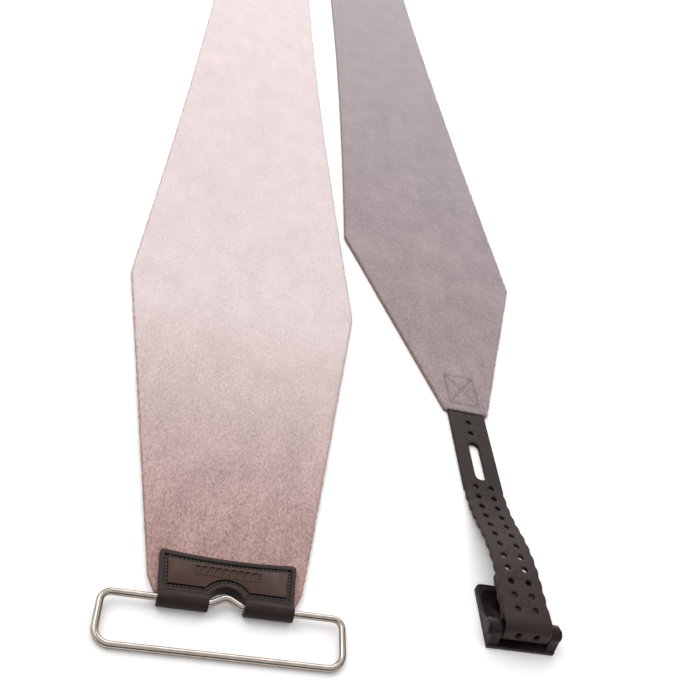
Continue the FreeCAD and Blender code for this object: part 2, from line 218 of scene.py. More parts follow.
class SkinSizes(bpy.types.PropertyGroup):
    """Sizes of the computed pieces that a user would change."""

    plush_rows: IntProperty(name="Plush rows", description="Rows of points along the plush", default=860)
    plush_columns: IntProperty(name="Plush columns", description="Points across the plush", default=97)
    nap_depth: length_setting("Nap depth", "How far clumps of nap rise and fall", 0.00009)
    edge_fray: length_setting("Edge fray", "How far the cut edge wanders", 0.00030)
    fibre_length: length_setting("Fibre length", "Length of a loose fibre at a cut edge", 0.0014)
    fibre_width: length_setting("Fibre width", "Half the thickness of a tuft of fibres", 0.00014)
    edge_fibres: IntProperty(name="Edge fibres", description="Fibres along one cut edge", default=2600)
    nap_fibres: IntProperty(name="Nap fibres", description="Longer hairs out of the nap", default=5200)
    stitch_pitch: length_setting("Tab stitch pitch", "Distance between stitches on the tab", 0.0017)
    seam_pitch: length_setting("Tail stitch pitch", "Distance between stitches at the tail", 0.0026)
    edge_round: length_setting("Edge rounding", "Rounding of moulded edges", 0.00035)


class SkinColours(bpy.types.PropertyGroup):
    """Colours of the finishes."""

    # The plush colours below are one plush under different light. The left skin runs from its darker tip
    # colour to a much lighter far colour, which is painted sheen and haze of nap seen at a grazing angle.
    # The right skin, turned end for end, has darker colours along its whole length, which is painted shade
    # of its nap seen against the grain.
    plush_tip: colour_setting("Plush, tip", "Plush where the tip end is handled", 0.342, 0.214, 0.197)
    plush_far_painted_sheen: colour_setting("Plush, open", "Plush with its nap raised to the light", 0.600, 0.508, 0.506)
    plush_turned_far_painted_shade: colour_setting("Plush, away", "Plush with its nap brushed away", 0.282, 0.250, 0.260)
    plush_turned_near_painted_shade: colour_setting("Plush, tail", "Plush where the tail end is handled", 0.278, 0.218, 0.226)
    backing: colour_setting("Backing", "Woven backing at the cut edge", 0.300, 0.150, 0.105)
    rubber: colour_setting("Rubber", "Rubber of the tab", 0.015, 0.0095, 0.0085)
    rubber_panel: colour_setting("Rubber panel", "Worn panel of the tab", 0.048, 0.025, 0.019)
    strap: colour_setting("Strap rubber", "Rubber of the tail strap", 0.022, 0.0145, 0.0145)
    plastic: colour_setting("Plastic", "Moulded hook", 0.010, 0.0075, 0.0075)
    thread: colour_setting("Thread", "Thread of the tab", 0.030, 0.021, 0.019)
    tail_thread: colour_setting("Tail thread", "Thread of the box stitch", 0.230, 0.170, 0.168)
    steel: colour_setting("Steel", "Wire of the tip loop", 0.44, 0.385, 0.34)
    floor: colour_setting("Floor", "Pale floor", 0.93, 0.92, 0.915)


class StudioSettings(bpy.types.PropertyGroup):
    """Camera and lights."""

    camera_at: FloatVectorProperty(
        name="Camera position", description="Where the camera stands", subtype="TRANSLATION",
        default=(-0.11743, -1.06667, 0.29218))
    camera_turn: FloatVectorProperty(
        name="Camera turn", description="Camera rotation", subtype="EULER",
        default=(0.88872, -0.30958, -0.06060))
    lens: FloatProperty(name="Lens", description="Focal length in millimetres", default=42.58)
    key_power: power_setting("Key power", "Power of the main softbox in watts", 15.0)
    rim_power: power_setting("Rim power", "Power of the softbox behind in watts", 19.0)
    far_power: power_setting("Far power", "Power of the softbox over the far end in watts", 2.0)
    world_strength: FloatProperty(name="World strength", description="Strength of the room", default=0.90)
    floor_size: length_setting("Floor size", "Side of the floor", 16.0)


def place(side, points):
    """From the skin's own frame to the frame of both: a shift for the left skin, half a turn and a shift for
    the right one."""
    low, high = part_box(side + "_tip_tab")
    way = 1 if side == "left" else -1
    wire_y = low.y + SLEEVE_R if way > 0 else high.y - SLEEVE_R
    out = np.array(points, float)
    out[..., 0] = (low.x + high.x) / 2 + way * out[..., 0]
    out[..., 1] = wire_y + way * out[..., 1]
    return out


def line_ends(side, start_y, end_y):
    """Both ends of a line along the middle of the skin."""
    return place(side, [[0, start_y, 0], [0, end_y, 0]]).tolist()


def stack(*parts):
    """Points from their coordinates, each an array or one value for all."""
    return np.stack(np.broadcast_arrays(*parts), axis=-1)


def gathered(parts):
    """One mesh of several (points, faces): the points in a row and the faces' numbers moved on to match."""
    points, faces, size = [], [], 0
    for some, corners in parts:
        points.append(np.reshape(some, (-1, 3)))
        faces += [[c + size for c in face] for face in corners]
        size += len(points[-1])
    return np.vstack(points), faces


def linked(name, data):
    """A new object in the scene."""
    obj = bpy.data.objects.new(name, data)
    bpy.context.scene.collection.objects.link(obj)
    return obj


def piece(side, name, points, faces, material, extra=None):
    """Object from points in the skin's frame; the points stay on it as the attribute "flat"."""
    points = np.asarray(points, float).reshape(-1, 3)
    mesh = bpy.data.meshes.new(f"{side}_{name}")
    mesh.from_pydata(place(side, points).tolist(), [], faces)
    for label, values in {"flat": points, **(extra or {})}.items():
        attribute = mesh.attributes.new(label, "FLOAT_VECTOR", "POINT")
        attribute.data.foreach_set("vector", np.asarray(values, np.float32).ravel())
    mesh.update()
    mesh.shade_smooth()
    mesh.materials.append(material)
    return linked(f"{side}_{name}", mesh)


def grid_faces(rows, columns, wrap_rows=False, wrap_columns=False):
    """Quads of a grid of points: each joins a point to the next along its row and along its column."""
    index = np.arange(rows * columns).reshape(rows, columns)
    if wrap_columns:
        index = np.hstack([index, index[:, :1]])
    if wrap_rows:
        index = np.vstack([index, index[:1]])
    return stack(index[:-1, :-1], index[:-1, 1:], index[1:, 1:], index[1:, :-1]).reshape(-1, 4)


def shell(top, bottom, match):
    """Closed skin round two grids of equal rows: top faces up, bottom faces down, walls and ends join them.
    match gives the top column over each bottom column."""
    rows, columns = top.shape[:2]
    under = bottom.shape[1]
    t = np.arange(rows * columns).reshape(rows, columns)
    b = np.arange(rows * under).reshape(rows, under) + rows * columns
    left = stack(t[:-1, 0], t[1:, 0], b[1:, 0], b[:-1, 0])
    right = stack(t[1:, -1], t[:-1, -1], b[:-1, -1], b[1:, -1])
    below = grid_faces(rows, under)[:, ::-1] + rows * columns
    faces = np.vstack([grid_faces(rows, columns), below, left, right]).tolist()
    for i, (start, end) in enumerate(zip(match[:-1], match[1:])):
        faces.append(b[0, i:i + 2].tolist() + t[0, start:end + 1][::-1].tolist())
        faces.append(t[-1, start:end + 1].tolist() + b[-1, i:i + 2][::-1].tolist())
    return np.vstack([top.reshape(-1, 3), bottom.reshape(-1, 3)]), faces


def arc_x(y, start, middle, end):
    """x at each y on the circle through three points, on the side of the first point."""
    points = np.array([start, middle, end])
    squares = (points ** 2).sum(axis=1)
    centre = np.linalg.solve(2 * (points[1:] - points[0]), squares[1:] - squares[0])
    radius = np.hypot(*(points[0] - centre))
    return centre[0] - np.sign(centre[0] - start[0]) * np.sqrt(radius ** 2 - (y - centre[1]) ** 2)


def half_width(y, heel):
    """Half the width at y: bevelled tip, straight flare, arc from shovel over waist to heel, and taper."""
    places = [PLUSH_START, PLUSH_START + TIP_BEVEL, SHOVEL_Y, heel[1], PLUSH_END]
    straight = np.interp(y, places, [TIP_HALF, TIP_BEVEL_HALF, SHOVEL_HALF, heel[0], TAIL_HALF])
    curve = arc_x(y, (SHOVEL_HALF, SHOVEL_Y), WAIST, heel)
    return np.where((y > SHOVEL_Y) & (y < heel[1]), curve, straight)


def stations(start, end, count):
    """Places along the skin, three times closer together near its ends than in the middle, and with more of
    them across the storage fold."""
    fine = np.linspace(start, end, 2000)
    reach = np.minimum(fine - start, end - fine) / DENSE_REACH
    density = 1 / (1 + 2 * np.clip(reach - DENSE_SHARE, 0, 1))
    run = np.cumsum(density)
    places = np.interp(np.linspace(0, 1, count), (run - run[0]) / (run[-1] - run[0]), fine)
    fold = FOLD_Y + FOLD_REACH * np.linspace(-FOLD_SPAN, FOLD_SPAN, FOLD_ROWS)
    fold = fold[(fold > start) & (fold < end)]
    away = np.abs(places - FOLD_Y) > FOLD_CLEAR * FOLD_REACH
    return np.sort(np.concatenate([places[away], fold]))


def strip(y, u, z, grow=0.0):
    """Grid over the plan of the strip at height z, u from -1 at one cut edge to 1 at the other, pulled back
    round the wire's notch at the tip."""
    inner = half_width(y, INNER_HEEL)[:, None] + grow
    outer = half_width(y, OUTER_HEEL)[:, None] + grow
    x = np.where(u > 0, u * inner, u * outer)
    notch = np.sqrt(np.maximum(NOTCH_R ** 2 - x ** 2, PLUSH_START ** 2)) - PLUSH_START
    fade = np.clip(1 - (y - PLUSH_START) / NOTCH_FADE, 0, 1)[:, None] ** 2
    return stack(x, y[:, None] + notch * fade, z)


def clumps(x, y, across, along, lean, seed):
    """Clumpy unevenness: a sum of plane waves whose clumps are longer along the lean than across it."""
    rng = np.random.default_rng(seed)
    k_across = rng.normal(0, 2 * math.pi / across, CLUMP_WAVES)
    k_along = rng.normal(0, 2 * math.pi / along, CLUMP_WAVES)
    kx = k_across * math.cos(lean) - k_along * math.sin(lean)
    ky = k_across * math.sin(lean) + k_along * math.cos(lean)
    phase = rng.uniform(0, 2 * math.pi, CLUMP_WAVES)
    total = np.zeros_like(x)
    for i in range(CLUMP_WAVES):
        total += np.cos(kx[i] * x + ky[i] * y + phase[i])
    return total * math.sqrt(2 / CLUMP_WAVES)


def seam_lines():
    """Ends of the box stitch's six lines: a box and its two diagonals."""
    near, far = PLUSH_END - SEAM_NEAR, PLUSH_END - SEAM_FAR
    a, b, c, d = (-SEAM_HALF, near), (SEAM_HALF, near), (SEAM_HALF, far), (-SEAM_HALF, far)
    return np.array([(a, b), (b, c), (c, d), (d, a), (a, c), (b, d)])


def seam_distance(x, y):
    """Distance from each point to the nearest line of the box stitch."""
    nearest = np.full(x.shape, 1.0)
    for (x0, y0), (x1, y1) in seam_lines():
        run = np.array([x1 - x0, y1 - y0])
        t = np.clip(((x - x0) * run[0] + (y - y0) * run[1]) / (run @ run), 0, 1)
        nearest = np.minimum(nearest, np.hypot(x - x0 - t * run[0], y - y0 - t * run[1]))
    return nearest


def across_fold(side, obj):
    """Works out the ends of the storage fold, which nothing uses, and bakes the piece's placing into its
    points.
    """
    start, end = line_ends(side, FOLD_Y - FOLD_REACH, FOLD_Y + FOLD_REACH)
    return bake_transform(obj)


def flat_size(y):
    """Width and length of the cut, and its area: the sum of both half widths along it."""
    width = half_width(y, INNER_HEEL) + half_width(y, OUTER_HEEL)
    area = float(((width[1:] + width[:-1]) / 2 * np.diff(y)).sum())
    return (float(width.max()), float(y[-1] - y[0])), area


def build_plush(side, sizes, material):
    """Plush: the strip's plan, its top raised and lowered by clumps of nap, rolled at the cut edge and
    pressed in along the box stitch. Its flat bottom has most of its points round the notch."""
    y = stations(PLUSH_START, PLUSH_END, sizes.plush_rows)
    u = np.linspace(-1, 1, sizes.plush_columns)
    top = strip(y, u, PLUSH_TOP)
    px, py = top[..., 0], top[..., 1]
    fine = clumps(px, py, 0.003, 0.005, NAP_LEAN, SEED)
    rough = 0.7 * fine + 0.8 * clumps(px, py, 0.006, 0.014, NAP_LEAN, SEED + 1)
    edge = (1 - np.abs(u)) * np.maximum(np.abs(px[:, :1]), 1e-6)
    rolled = np.exp(-(edge / ROLL_REACH) ** 2)
    pressed = np.exp(-(seam_distance(px, py) / SEAM_REACH) ** 2)
    ragged = clumps(py[:, :1], py[:, :1] * 0, 0.0012, 0.0012, 0.0, SEED + 4) * sizes.edge_fray
    ragged = np.clip(ragged, -FRAY_LIMIT, FRAY_LIMIT)
    top[..., 0] += np.where(np.abs(u) > 0.999, np.sign(px) * ragged, 0)
    depth = 3 * sizes.nap_depth
    top[..., 2] += np.clip(sizes.nap_depth * rough, -depth, depth) - depth
    top[..., 2] -= ROLL_DROP * rolled + SEAM_DEPTH * pressed
    match = np.round((BOTTOM_SHARES + 1) / 2 * (sizes.plush_columns - 1)).astype(int)
    points, faces = shell(top, strip(y, u[match], PLUSH_BOTTOM), match)
    look = np.zeros((len(points), 3))
    # The attribute "nap" holds three things: the rolled edge and the bottom, where the backing colour shows;
    # the box stitch's press, which gets painted shade in its grooves; and the clumps.
    look[: top[..., 0].size] = stack(rolled, pressed, rough / 2).reshape(-1, 3)
    look[top[..., 0].size:, 0] = 1
    obj = piece(side, "plush", points, faces, material, {"nap": look})
    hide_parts(f"{side}_plush_front", f"{side}_plush_rear")
    return across_fold(side, obj), flat_size(y)


def fibre_mesh(base, lean, length, width):
    """Fibres as thin three-sided spikes: a ring at the root, a smaller one half-way, and a drooping tip."""
    up = np.array([0.0, 0.0, 1.0])
    beside = np.cross(lean, up)
    beside /= np.linalg.norm(beside, axis=1)[:, None]
    other = np.cross(lean, beside)
    turn = np.arange(3) * 2 * math.pi / 3
    ring = np.cos(turn)[None, :, None] * beside[:, None] + np.sin(turn)[None, :, None] * other[:, None]
    reach = (lean * length[:, None])[:, None]
    droop = -0.25 * length[:, None, None] * up
    root = base[:, None] + ring * width
    middle = base[:, None] + reach * 0.55 + droop * 0.25 + ring * width * 0.7
    tip = base[:, None] + reach + droop
    points = np.concatenate([root, middle, tip], axis=1)
    quads = np.array([[0, 1, 4, 3], [1, 2, 5, 4], [2, 0, 3, 5]])
    triangles = np.array([[2, 1, 0], [3, 4, 6], [4, 5, 6], [5, 3, 6]])
    first = np.arange(len(base)) * 7
    faces = (first[:, None, None] + quads).reshape(-1, 4).tolist()
    faces += (first[:, None, None] + triangles).reshape(-1, 3).tolist()
    return points, faces


def scattered(rng, count, start, end):
    """Random places along the skin, denser near its ends."""
    places = stations(start, end, FIBRE_ROWS)
    return np.interp(rng.uniform(0, 1, count), np.linspace(0, 1, len(places)), places)


def build_edge_fibres(side, sizes, material):
    """Frayed fibres along both cut edges, denser near the ends, leaning outwards and towards the tail."""
    rng = np.random.default_rng(SEED + 2)
    count = sizes.edge_fibres
    parts = []
    for way, heel in ((1, INNER_HEEL), (-1, OUTER_HEEL)):
        y = scattered(rng, count, PLUSH_START + 0.02, PLUSH_END)
        x = way * (half_width(y, heel) - FIBRE_SUNK)
        z = rng.uniform(PLUSH_BOTTOM - 0.0002, PLUSH_TOP - 0.0005, count)
        lean = stack(way * rng.uniform(0.25, 1.0, count), rng.uniform(-0.2, 1.1, count),
                     rng.uniform(-0.15, 0.55, count))
        lean /= np.linalg.norm(lean, axis=1)[:, None]
        length = sizes.fibre_length * rng.uniform(0.35, 1.0, count)
        parts.append(fibre_mesh(stack(x, y, z), lean, length, sizes.fibre_width))
    points, faces = gathered(parts)
    points[:, 2] = np.maximum(points[:, 2], FIBRE_FLOOR)
    obj = piece(side, "edge_fibres", points, faces, material)
    return across_fold(side, obj)


def build_nap_fibres(side, sizes, material):
    """Longer hairs that stand a little out of the nap, denser near the ends."""
    rng = np.random.default_rng(SEED + 3)
    count = sizes.nap_fibres
    y = scattered(rng, count, PLUSH_START + 0.022, PLUSH_END - 0.001)
    share = rng.uniform(-0.985, 0.985, count)
    x = np.where(share > 0, share * half_width(y, INNER_HEEL), share * half_width(y, OUTER_HEEL))
    z = np.full(count, PLUSH_TOP - 0.0006)
    heading = rng.normal(-0.45, 0.5, count)
    rise = rng.uniform(0.12, 0.5, count)
    lean = stack(np.sin(heading) * np.cos(rise), np.cos(heading) * np.cos(rise), np.sin(rise))
    length = rng.uniform(0.0010, 0.0024, count)
    points, faces = fibre_mesh(stack(x, y, z), lean, length, sizes.fibre_width)
    obj = piece(side, "nap_fibres", points, faces, material)
    return across_fold(side, obj)


def build_layer(side, name, start, end, z0, z1, grow, material, nodes, slot_name, rows=260, columns=13):
    """A thin layer under the plush: the strip's plan between two places, with a flat top and bottom."""
    y = stations(start, end, rows)
    u = np.linspace(-1, 1, columns)
    points, faces = shell(strip(y, u, z1, grow), strip(y, u, z0, grow), np.arange(columns))
    obj = piece(side, name, points, faces, material)
    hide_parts(*nodes)
    return obj, flat_size(y)


def strap_runs():
    """The strap's middle line as runs of (length, turn): on the floor, up, down round the bar and back."""
    run = RISE_END - RISE_START
    rise = STRAP_TOP_Z - STRAP_THICK / 2
    radius = (run ** 2 + rise ** 2) / (4 * rise)
    turn = 2 * math.atan(rise / run)
    outer, inner = BAR_Y + WRAP_R, BAR_Y - WRAP_R
    return [
        (RISE_START - STRAP_START, 0),
        (radius * turn, turn),
        (radius * turn, -turn),
        (outer - OUTER_BEND_R - RISE_END, 0),
        (OUTER_BEND_R * math.pi / 2, -math.pi / 2),
        (STRAP_TOP_Z - OUTER_BEND_R - BAR_Z, 0),
        (WRAP_R * math.pi, -math.pi),
        (RETURN_Z - INNER_BEND_R - BAR_Z, 0),
        (INNER_BEND_R * math.pi / 2, math.pi / 2),
        (inner - INNER_BEND_R - RETURN_END, 0),
    ]


def strap_line():
    """Fine samples of the middle line: heading is the running sum of each run's even turn, and place is the
    running sum of steps along the heading."""
    lengths, turns = np.array(strap_runs()).T
    ends = np.concatenate([[0], np.cumsum(lengths)])
    t = np.linspace(0, ends[-1], 4001)
    heading = np.interp(t, ends, np.concatenate([[0], np.cumsum(turns)]))
    middle = (heading[1:] + heading[:-1]) / 2
    step = np.diff(t)
    s = STRAP_START + np.concatenate([[0], np.cumsum(np.cos(middle) * step)])
    z = STRAP_THICK / 2 + np.concatenate([[0], np.cumsum(np.sin(middle) * step)])
    return {"t": t, "s": s, "z": z, "heading": heading, "ends": ends}


def on_strap(line, x, t, height):
    """A point at x across, t along and height above the strap's middle line, in the skin's frame."""
    s = np.interp(t, line["t"], line["s"])
    z = np.interp(t, line["t"], line["z"])
    heading = np.interp(t, line["t"], line["heading"])
    return stack(x, PLUSH_END + s - np.sin(heading) * height, z + np.cos(heading) * height)


def strap_holes(line):
    """Centre and radius of every round hole, and of both ends of the slot, on the flat pattern."""
    out = line["t"] < line["ends"][4]
    back = line["t"] > line["ends"][9]

    def outward(s):
        """Place along the strap of a distance from the plush, on its way out."""
        return float(np.interp(s, line["s"][out], line["t"][out]))

    def inward(s):
        """The same on its way back."""
        return float(np.interp(-s, -line["s"][back], line["t"][back]))

    holes = [(0.0, outward(s), HOLE_R) for s in SINGLE_HOLES]
    pairs = [PAIR_FIRST + PAIR_PITCH * i for i in range(PAIR_COUNT)]
    places = [outward(s) for s in pairs] + [line["ends"][5]] + [inward(s) for s in pairs[-3:]]
    holes += [(x, t, HOLE_R) for t in places for x in (-PAIR_HALF, PAIR_HALF)]
    slot_ends = (outward(SLOT[0] + SLOT_HALF), outward(SLOT[1] - SLOT_HALF))
    between = [s + PAIR_PITCH / 2 for s in pairs[:-1]]
    scallops = [outward(s) for s in between] + [inward(s) for s in between[-3:]]
    return holes, slot_ends, np.array(scallops), places


def strap_half(t, end, scallops, inset):
    """Half the strap's width on the flat pattern: straight, scooped by a circle at each scallop, and rounded
    at the free end."""
    away = np.abs(np.asarray(t)[..., None] - scallops).min(axis=-1)
    scoop = STRAP_HALF - SCALLOP_DEPTH + SCALLOP_R - np.sqrt(np.maximum(SCALLOP_R ** 2 - away ** 2, 0))
    half = np.minimum(STRAP_HALF, scoop) - inset
    past = np.clip(t - (end - END_ROUND), 0, END_ROUND - inset)
    rounded = STRAP_HALF - END_ROUND + np.sqrt((END_ROUND - inset) ** 2 - past ** 2)
    return np.where(t > end - END_ROUND, rounded, half)


def strap_outline(end, scallops, inset):
    """The strap's edge on the flat pattern, drawn in by inset: a side, the rounded end, the other side."""
    t = np.linspace(0, end - END_ROUND, 300)
    turn = np.linspace(0, math.pi / 2, 9)[1:]
    side_t = np.concatenate([t, end - END_ROUND + (END_ROUND - inset) * np.sin(turn)])
    side_x = np.concatenate([
        strap_half(t, end, scallops, inset),
        STRAP_HALF - END_ROUND + (END_ROUND - inset) * np.cos(turn),
    ])
    x = np.concatenate([side_x, -side_x[::-1]])
    return stack(x, np.concatenate([side_t, side_t[::-1]]))


def round_hole(x, t, radius, inset):
    """A hole's edge on the flat pattern, widened by inset, turning the other way from the outline."""
    turn = -np.arange(20) * math.pi / 10
    return stack(x + (radius + inset) * np.cos(turn), t + (radius + inset) * np.sin(turn))


def slot_hole(ends, inset):
    """The slot's edge on the flat pattern: two half circles joined by straight sides."""
    turn = np.linspace(0, math.pi, 11)
    radius = SLOT_HALF + inset
    low = stack(radius * np.cos(turn), ends[0] - radius * np.sin(turn))
    high = stack(-radius * np.cos(turn), ends[1] + radius * np.sin(turn))
    sides = np.linspace(ends[0], ends[1], 12)[1:-1]
    return np.concatenate([low, stack(-radius, sides), high, stack(radius, sides[::-1])])


def build_strap(side, sizes, material):
    """Strap: a flat pattern with its holes, triangulated once for each face, joined by rounded walls round
    every edge, and then carried along the strap's line."""
    line = strap_line()
    end = float(line["ends"][-1])
    holes, slot_ends, scallops, _ = strap_holes(line)
    inset = sizes.edge_round
    bend = (line["ends"][4] - STRAP_MARGIN, line["ends"][9] + STRAP_MARGIN)
    rows = np.concatenate([np.arange(STRAP_MARGIN, bend[0], STRAP_ROW), np.arange(*bend, BEND_ROW),
                           np.arange(bend[1], end - STRAP_MARGIN, STRAP_ROW)])
    x, t = np.meshgrid(np.arange(-6, 7) * STRAP_COLUMN, rows)
    inner = stack(x.ravel(), t.ravel())

    def loops(d):
        """Every edge of the flat pattern, drawn in by d."""
        rounds = [round_hole(*hole, d) for hole in holes]
        return [strap_outline(end, scallops, d), *rounds, slot_hole(slot_ends, d)]

    def solid(p, margin):
        """Whether points of the flat pattern lie on rubber, a margin away from every edge."""
        good = np.abs(p[:, 0]) < strap_half(p[:, 1], end, scallops, inset) - margin
        for hx, ht, hr in holes:
            good &= np.hypot(p[:, 0] - hx, p[:, 1] - ht) > hr + inset + margin
        along = np.clip(p[:, 1], *slot_ends)
        return good & (np.hypot(p[:, 0], p[:, 1] - along) > SLOT_HALF + inset + margin)

    rims = loops(inset)
    flat = np.vstack(rims + [inner[solid(inner, POINT_GAP)]])
    edges, first = [], 0
    for rim in rims:
        ids = np.arange(len(rim)) + first
        edges += stack(ids, np.roll(ids, -1)).tolist()
        first += len(rim)
    verts, _, faces, _, _, _ = delaunay_2d_cdt((flat * FLAT_SCALE).tolist(), edges, [], 0, 1e-6)
    flat = np.array([tuple(v) for v in verts]) / FLAT_SCALE
    faces = np.array(faces)
    faces = faces[solid(flat[faces].mean(axis=1), 0.0)]
    a, b, c = flat[faces[:, 0]], flat[faces[:, 1]], flat[faces[:, 2]]
    area = (b[:, 0] - a[:, 0]) * (c[:, 1] - a[:, 1]) - (b[:, 1] - a[:, 1]) * (c[:, 0] - a[:, 0])
    faces[area < 0] = faces[area < 0][:, ::-1]

    half = STRAP_THICK / 2
    corner = ARC_CORNER * inset
    parts = [(on_strap(line, *flat.T, half), faces.tolist()),
             (on_strap(line, *flat.T, -half), faces[:, ::-1].tolist())]
    steps = [(inset, half), (corner, half - corner), (0, half - inset), (0, inset - half),
             (corner, corner - half), (inset, -half)]
    for walls in zip(*[loops(d) for d, _ in steps]):
        wall = np.stack([on_strap(line, *w.T, h) for w, (_, h) in zip(walls, steps)])
        parts.append((wall, grid_faces(*wall.shape[:2], wrap_columns=True)[:, ::-1].tolist()))
    obj = piece(side, "strap_band", *gathered(parts), material)
    weld(obj.data, 1e-6)
    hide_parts(f"{side}_tail_strap")
    start, end = line_ends(side, PLUSH_END + STRAP_START, PLUSH_END + STRAP_BEND_END)
    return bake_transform(obj)


def build_strap_marks(side, material):
    """Faint moulded rings between every second two pairs of holes, and a dash on each side of the single
    holes: each ring is a thin torus laid on the strap's line, each dash a low rounded bar."""
    line = strap_line()
    _, _, _, places = strap_holes(line)
    round_about, round_tube = np.meshgrid(np.arange(28) * 2 * math.pi / 28, np.arange(6) * math.pi / 3,
                                          indexing="ij")
    parts, top = [], STRAP_THICK / 2
    for middle in [(places[i] + places[i + 1]) / 2 for i in range(0, PAIR_COUNT - 1, 2)]:
        radius = RING_R + RING_TUBE * np.cos(round_tube)
        torus = on_strap(line, radius * np.cos(round_about), middle + radius * np.sin(round_about),
                         top + MARK_RISE * np.sin(round_tube))
        parts.append((torus, grid_faces(28, 6, True, True).tolist()))
    along, about = np.meshgrid(np.linspace(-1, 1, 7), np.arange(8) * math.pi / 4, indexing="ij")
    bulge = np.sqrt(1 - (0.97 * along) ** 2)
    ends = [np.arange(8).tolist(), (np.arange(8)[::-1] + 48).tolist()]
    for s in SINGLE_HOLES:
        for way in (-1, 1):
            bar = on_strap(line, way * DASH_X + along * DASH_HALF,
                           s - STRAP_START + bulge * np.cos(about) * DASH_WIDTH,
                           top + MARK_RISE * bulge * np.sin(about))
            parts.append((bar, grid_faces(7, 8, False, True)[:, ::-1].tolist() + ends))
    obj = piece(side, "strap_marks", *gathered(parts), material)
    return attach(obj, f"{side}_strap")


def weld(mesh, distance):
    """Joins points that lie together and points every face outwards."""
    work = bmesh.new()
    work.from_mesh(mesh)
    bmesh.ops.remove_doubles(work, verts=work.verts, dist=distance)
    bmesh.ops.recalc_face_normals(work, faces=work.faces)
    work.to_mesh(mesh)
    work.free()


def softened(node, name, width, material):
    """A copy of a moulded CAD node whose sharp edges are rounded over. The attribute "panel" marks its flat
    faces that lie a little above or below the tab's face."""
    source = frame["nodes"][node]
    mesh = source.data.copy()
    mesh.name = name
    mesh.materials.clear()
    mesh.materials.append(material)
    work = bmesh.new()
    work.from_mesh(mesh)
    bmesh.ops.remove_doubles(work, verts=work.verts, dist=2e-6)
    bmesh.ops.dissolve_limit(work, angle_limit=math.radians(0.5), use_dissolve_boundaries=False,
                             verts=work.verts, edges=work.edges)
    work.to_mesh(mesh)
    work.free()
    centre, normal = np.empty((2, 3 * len(mesh.polygons)), np.float32)
    mesh.polygons.foreach_get("center", centre)
    mesh.polygons.foreach_get("normal", normal)
    rise = np.abs(centre[2::3] - TAB_FACE)
    panel = (normal[2::3] > 0.95) & (rise > PANEL_CLEAR) & (rise < PANEL_REACH)
    marked = mesh.attributes.new("panel", "FLOAT", "FACE")
    marked.data.foreach_set("value", panel.astype(np.float32))
    mesh.shade_smooth()
    obj = linked(name, mesh)
    bevel = obj.modifiers.new("Rounded edges", "BEVEL")
    bevel.width = width
    bevel.segments = 2
    bevel.limit_method = "ANGLE"
    bevel.angle_limit = math.radians(35)
    bevel.harden_normals = True
    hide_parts(node)
    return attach(obj, source["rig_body"])


def stitch_mesh(path, closed, pitch, width, thick, share):
    """Stitches along a path in the floor plane: each is a short bar whose ends dip, with an oval section."""
    if closed:
        path = np.vstack([path, path[:1]])
    step = np.linalg.norm(np.diff(path, axis=0), axis=1)
    run = np.concatenate([[0], np.cumsum(step)])
    count = max(1, int(round(run[-1] / pitch)))
    spacing = run[-1] / count
    middle = (np.arange(count) + 0.5) * spacing
    along, about = np.meshgrid(np.linspace(-1, 1, 5), np.arange(6) * math.pi / 3, indexing="ij")
    reach = middle[:, None, None] + along * spacing * share / 2
    x, y = (np.interp(reach, run, path[:, i]) for i in (0, 1))
    ahead, behind = middle + spacing * 0.3, middle - spacing * 0.3
    dx = np.interp(ahead, run, path[:, 0]) - np.interp(behind, run, path[:, 0])
    dy = np.interp(ahead, run, path[:, 1]) - np.interp(behind, run, path[:, 1])
    size = np.hypot(dx, dy)
    bulge = np.sqrt(1 - (0.9 * along) ** 2)
    beside = bulge * np.cos(about) * width / 2
    x = x - (dy / size)[:, None, None] * beside
    y = y + (dx / size)[:, None, None] * beside
    z = bulge * np.sin(about) * thick / 2 - 0.25 * thick * along ** 2
    points = stack(x, y, z).reshape(-1, 3)
    quads = grid_faces(5, 6, False, True)[:, ::-1]
    caps = np.array([np.arange(6), np.arange(6)[::-1] + 24])
    first = np.arange(count)[:, None, None] * 30
    faces = (first + quads).reshape(-1, 4).tolist() + (first + caps).reshape(-1, 6).tolist()
    return points, faces


def tab_seam():
    """Line of the tab's stitching: the tab's edge drawn in, round the notch, the corners and the top."""
    front = TAB_FOOT + SEAM_INSET
    slope = (TAB_HALF_TOP - TAB_HALF_FRONT) / TAB_TOP

    def side(y):
        """Half the line's width at y."""
        return TAB_HALF_FRONT + slope * y - SEAM_INSET

    arch = TAB_NOTCH_R + SEAM_INSET
    lift = math.asin(front / arch)
    turn = np.linspace(lift, math.pi - lift, 15)
    notch = stack(arch * np.cos(turn), arch * np.sin(turn))
    top_y = TAB_TOP - SEAM_INSET
    half = side(top_y)
    x = np.linspace(-half + 0.001, half - 0.001, 17)
    top = stack(x, top_y - TAB_DIP * (1 - (x / half) ** 2))
    corners = np.array([[-side(front), front], [-half, top_y - 0.001]])
    return np.concatenate([notch, corners, top, corners[::-1] * [-1, 1]])


def build_tab_stitches(side, sizes, material):
    """Stitches round the tab, lying in its groove."""
    points, faces = stitch_mesh(
        tab_seam(), True, sizes.stitch_pitch, width=0.0008, thick=0.0005, share=0.72)
    points[:, 2] += GROOVE_FLOOR + STITCH_RISE
    obj = piece(side, "tab_stitches", points, faces, material)
    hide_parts(f"{side}_tip_stitching")
    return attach(obj, f"{side}_front")


def build_tail_stitches(side, sizes, material):
    """Stitches of the box and its diagonals at the tail, pressed into the plush."""
    points, faces = gathered(
        stitch_mesh(line, False, sizes.seam_pitch, width=0.0006, thick=0.0004, share=0.8)
        for line in seam_lines())
    points[:, 2] += PLUSH_TOP - 3 * sizes.nap_depth - SEAM_DEPTH + SEAM_RISE
    obj = piece(side, "tail_stitches", points, faces, material)
    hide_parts(f"{side}_tail_stitching")
    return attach(obj, f"{side}_rear")


